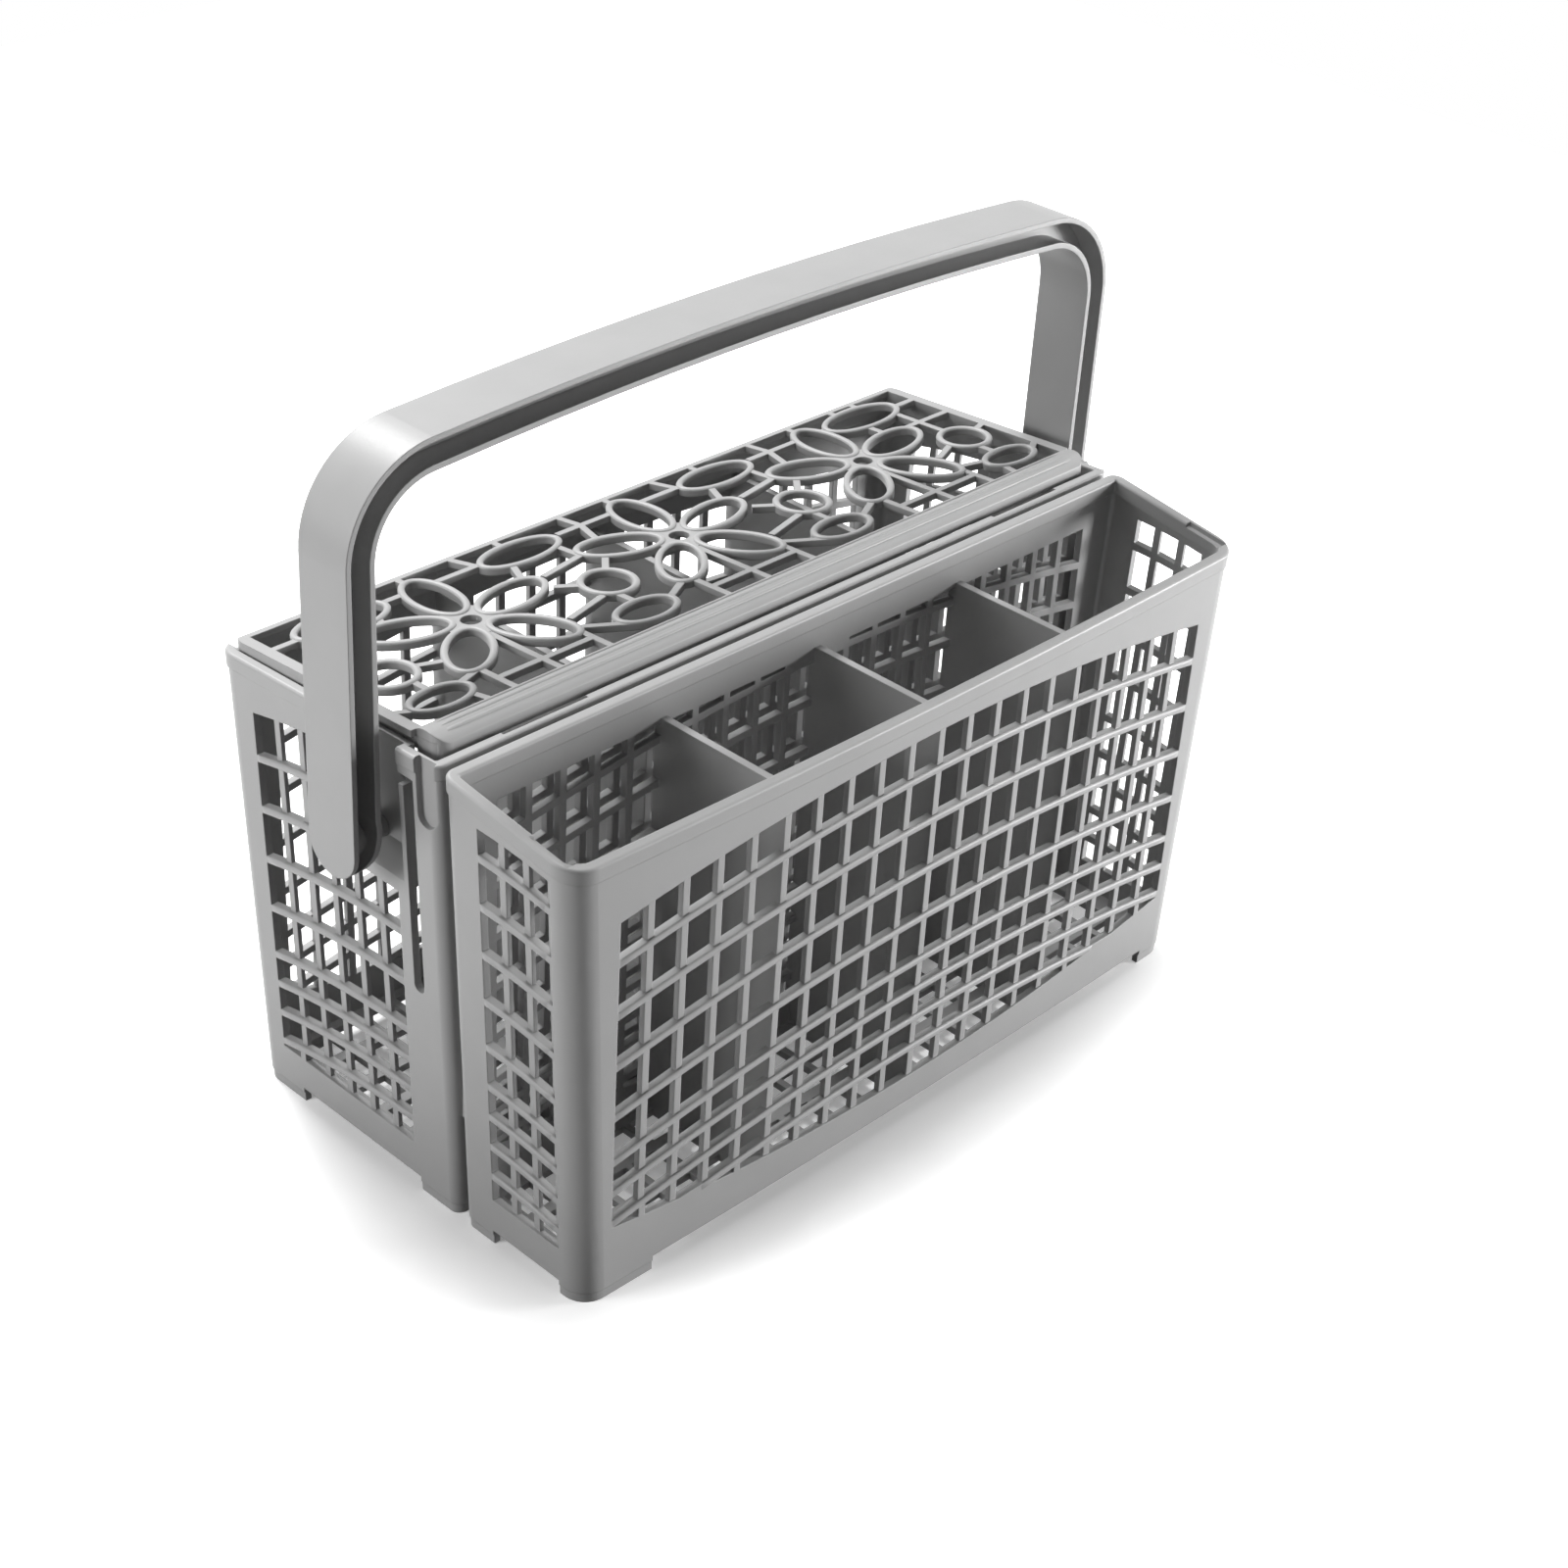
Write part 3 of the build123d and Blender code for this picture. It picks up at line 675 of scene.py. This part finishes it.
@dataclass
class RearBasket:
    """Large basket behind, with the handle's pockets in its end walls.

    Attributes:
        shell: Faces that it shares with the front basket.
        rear_y: Depth of the rear rim in mm.
        rim_height: Height of the rear rim in mm.
        lean: How far the rear wall leans in at the floor in mm.
        end_rows: Bars of its end walls.
        end_arc: Radius of their arcs in mm.
        end_front: Depth where they start in mm.
        end_rear: Depth where they end in mm.
        pocket_rear: Depth where the bars beside the pocket start in mm.
        under_pocket: Height under which the bars run the whole way in mm.
    """

    shell: Shell
    rear_y: float = 62.0
    rim_height: float = 124.9
    lean: float = 2.0
    end_rows: Rows = field(default_factory=lambda: Rows(first=105.6, pitch=14.4, upper=4))
    end_arc: float = 215.0
    end_front: float = -1.8
    end_rear: float = 50.7
    pocket_rear: float = 24.45
    under_pocket: float = 88.2

    def face_y(self, x: np.ndarray, z: np.ndarray) -> np.ndarray:
        """Depth of the leaning rear wall's face at each z, the same at every x."""
        return self.rear_y - self.lean * (1 - z / self.rim_height) - self.shell.rim_step

    def build(self, material: bpy.types.Material) -> list[bpy.types.Object]:
        """Dresses the basket and crowns its bars.

        Args:
            material: Its plastic.

        Returns:
            The new pieces.
        """
        dress(Node.REAR, material)
        wall = LongGrille().crowns(self.shell.crown, self.face_y, Side.REAR)
        inset = self.shell.bar / 2
        ends = []
        for end in End:
            for top in self.end_rows.heights():
                front = self.end_front if top < self.under_pocket else self.pocket_rear
                span = (front + inset, self.end_rear - inset)
                ends.append(self.shell.end_bar(end, span, top, self.end_arc))
        return [grid_object("rear_wall_bar_crowns", wall, material, Body.BASKET),
                grid_object("rear_end_bar_crowns", ends, material, Body.BASKET)]


@dataclass
class Lid:
    """Lattice lid. Its sizes in mm lie on its own plane, which slopes to the rear.

    Attributes:
        height: Height of its top over the middle.
        slope: Fall towards the rear.
        rib: Width of a lattice rib.
        flower_pitch: Distance of the three flowers.
        flower_steps: Their places along X in pitches.
        gap_steps: Places between two flowers in pitches.
        flower_y: Depth of the flowers' middles.
        petals: Petals of a flower.
        petal_turn: Direction of the first petal in degrees.
        petal_reach: Distance of a petal's middle from the flower's.
        petal_half: Half sizes of a petal.
        gap_ovals: Ovals between two flowers, as middle, counted from there, and half sizes.
        end_ovals: Ovals at the ends, as middle and half sizes.
        lip: Depths of the finger lip's front and back.
        lip_half: Half of its ridges' length.
        lip_rise: How far its middle stands over the lid's top.
        lip_front_drop: How far its front edge lies under the lid's top.
        lip_ridges: Places of its fine ridges, as shares from front to back.
        lip_end: Half of the length to its closed ends.
        lip_corner: Radius of its front corners.
        cap: Heights over the lid's top between which the closed ends hang.
        cap_inset: How far their outer face lies behind the lip's end.
        cap_wall: Their thickness.
        crown: Crown of a rib.
        ridge: Crown of a fine ridge on the lip.
        steps: Points around an oval and along a ridge.
    """

    height: float = 131.0
    slope: float = 0.0707
    rib: float = 1.8
    flower_pitch: float = 67.4
    flower_steps: tuple[int, ...] = (-1, 0, 1)
    gap_steps: tuple[float, ...] = (-0.5, 0.5)
    flower_y: float = 28.3
    petals: int = 5
    petal_turn: float = 12.0
    petal_reach: float = 15.6
    petal_half: tuple[float, float] = (10.2, 4.8)
    gap_ovals: tuple[tuple[float, ...], ...] = ((-0.7, 20.6, 11.0, 4.6), (3.0, -7.3, 5.7, 6.1),
                                                (-1.0, -24.9, 7.9, 4.3))
    end_ovals: tuple[tuple[float, ...], ...] = ((89.2, 49.2, 12.0, 5.2), (98.6, 20.1, 5.7, 5.8),
                                                (97.4, 3.2, 7.5, 3.9))
    lip: tuple[float, float] = (-12.2, -4.4)
    lip_half: float = 107.0
    lip_rise: float = 0.7
    lip_front_drop: float = 1.7
    lip_ridges: tuple[float, ...] = (0.3, 0.55, 0.8)
    lip_end: float = 110.8
    lip_corner: float = 3.5
    cap: tuple[float, float] = (-1.6, -6.6)
    cap_inset: float = 0.08
    cap_wall: float = 1.5
    crown: Crown = field(default_factory=lambda: Crown(width=1.7, rise=0.5))
    ridge: Crown = field(default_factory=lambda: Crown(width=1.0, rise=0.3))
    steps: int = 72

    def ovals(self) -> list[tuple[float, ...]]:
        """Lists every oval of the lattice.

        Returns:
            Each oval as its middle, half sizes and turn in radians.
        """
        found = []
        for step in self.flower_steps:
            for petal in range(self.petals):
                turn = np.radians(self.petal_turn + 360 / self.petals * petal)
                found.append((step * self.flower_pitch + self.petal_reach * np.cos(turn),
                              self.flower_y + self.petal_reach * np.sin(turn), *self.petal_half, turn))
        for step in self.gap_steps:
            found += [(step * self.flower_pitch + x, self.flower_y + y, a, b, 0.0)
                      for x, y, a, b in self.gap_ovals]
        for end in End:
            found += [(end.value * x, y, a, b, 0.0) for x, y, a, b in self.end_ovals]
        return found

    def tilt(self) -> np.ndarray:
        """Turn from the lid's own plane to its slope, as a matrix."""
        fall = np.arctan(self.slope)
        return np.array([[1, 0, 0], [0, np.cos(fall), np.sin(fall)], [0, -np.sin(fall), np.cos(fall)]])

    def place(self, local: np.ndarray) -> np.ndarray:
        """Lays points of the lid's own plane into the frame.

        Args:
            local: Points along X, up the slope and over the plane, in mm.

        Returns:
            Points in the frame, in mm.
        """
        return local @ self.tilt().T + [0.0, 0.0, self.height]

    def lip_arc(self) -> tuple[float, float, float]:
        """Finds the circle of the lip's rounded top.

        It runs through the lip's back edge, its crown and its front edge.

        Returns:
            Depth and height of its middle and its radius.
        """
        front, back = self.lip
        crown_y = (front + back) / 2
        points = np.array([[back, 0.0], [crown_y, self.lip_rise], [front, -self.lip_front_drop]])
        rows = np.column_stack([2 * points, np.ones(3)])
        y, z, rest = np.linalg.solve(rows, (points ** 2).sum(axis=1))
        return float(y), float(z), float(np.sqrt(rest + y * y + z * z))

    def ridges(self) -> list[Grid]:
        """Crowns of the fine ridges that run straight along the lip's rounded top.

        Returns:
            One grid for each ridge.
        """
        middle_y, middle_z, radius = self.lip_arc()
        front, back = self.lip
        grids = []
        for share in self.lip_ridges:
            y = front + share * (back - front)
            z = middle_z + np.sqrt(radius ** 2 - (y - middle_y) ** 2)
            out = np.array([0.0, y - middle_y, z - middle_z]) / radius
            x = np.linspace(-self.lip_half, self.lip_half, self.steps)
            path = np.stack([x, np.full_like(x, y), np.full_like(x, z)], axis=1)
            grids.append(self.ridge.along(self.place(path), self.tilt() @ out))
        return grids

    def lip_cap(self, end: End, steps: int = 16) -> list[Grid]:
        """Hanging edge that closes one end of the lip.

        It runs from the lip's back straight to the front and turns round the corner
        in a quarter circle. At each point its section goes down the outer face, round
        the edge in a half circle and up the inner face, from just inside the lip's underside.
        A flat face, from the section to its middle line, closes each end of the path.

        Args:
            end: Which end.
            steps: Points around the corner.

        Returns:
            The grids of points, path by section, and that they are open: the edge and its two ends.
        """
        front, back = self.lip
        high, low = self.cap
        half = self.cap_wall / 2
        angle = np.linspace(0.0, np.pi / 2, steps)
        edge = np.linspace(0.0, np.pi, steps // 2 + 1)
        insets = self.cap_inset + half * (1 - np.cos(np.concatenate([[0.0], edge, [np.pi]])))
        heights = np.concatenate([[high], low + half * (1 - np.sin(edge)), [high]])
        rows = []
        for inset, z in zip(insets, heights):
            bend = self.lip_corner - inset
            x = np.append(self.lip_end - inset, self.lip_end - self.lip_corner + bend * np.cos(angle))
            y = np.append(back, front + self.lip_corner - bend * np.sin(angle))
            rows.append(self.place(np.stack([end.value * x, y, np.full_like(x, z)], axis=1)))
        grid = np.stack(rows, axis=1)
        middle = (grid + grid[:, ::-1]) / 2
        parts = [grid, np.stack([middle[0], grid[0]]), np.stack([grid[-1], middle[-1]])]
        return [(part[::end.value], False) for part in parts]

    def oval_crowns(self) -> list[Grid]:
        """Crowns of the ribs around the ovals.

        The middle line of a rib is an ellipse, half a rib larger than its oval and turned with it.

        Returns:
            One closed grid for each oval.
        """
        out = np.array([0.0, self.slope, 1.0]) / np.hypot(1.0, self.slope)
        angle = np.linspace(0.0, 2 * np.pi, self.steps, endpoint=False)
        grids = []
        for x, y, a, b, turn in self.ovals():
            u = (a + self.rib / 2) * np.cos(angle)
            v = (b + self.rib / 2) * np.sin(angle)
            flat = np.stack([x + u * np.cos(turn) - v * np.sin(turn),
                             y + u * np.sin(turn) + v * np.cos(turn),
                             np.zeros(self.steps)], axis=1)
            grids.append(self.crown.along(self.place(flat), out, closed=True))
        return grids

    def build(self, material: bpy.types.Material) -> list[bpy.types.Object]:
        """Dresses the lid, crowns the ribs of its ovals and finishes its lip.

        Args:
            material: Its plastic.

        Returns:
            The new pieces.
        """
        dress(Node.LID, material)
        caps = [grid for end in End for grid in self.lip_cap(end)]
        return [grid_object("lid_oval_crowns", self.oval_crowns(), material, Body.LID),
                grid_object("lid_lip_ridges", self.ridges(), material, Body.LID),
                grid_object("lid_lip_caps", caps, material, Body.LID)]


class Handle:
    """Arched handle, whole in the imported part."""

    def build(self, material: bpy.types.Material) -> list[bpy.types.Object]:
        """Dresses the handle.

        Args:
            material: Its plastic.

        Returns:
            No new pieces.
        """
        dress(Node.HANDLE, material)
        return []


def dress(node: Node, material: bpy.types.Material) -> None:
    """Gives a node of the part its material.

    Args:
        node: Which node.
        material: Its material.
    """
    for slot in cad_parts[node.value].material_slots:
        slot.material = material


def main() -> None:
    """Builds every sub-assembly in order and reports each piece."""
    logging.basicConfig(level=logging.INFO, format="%(name)s: %(message)s")
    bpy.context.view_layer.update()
    plastic = MouldedPlastic().make()
    shell = Shell()
    for assembly in (FrontBasket(shell), RearBasket(shell), Lid(), Handle()):
        pieces = assembly.build(plastic)
        log.info("%s: %s", type(assembly).__name__, ", ".join(p.name for p in pieces) or "dressed")
    Studio().build()


if __name__ == "__main__":
    main()
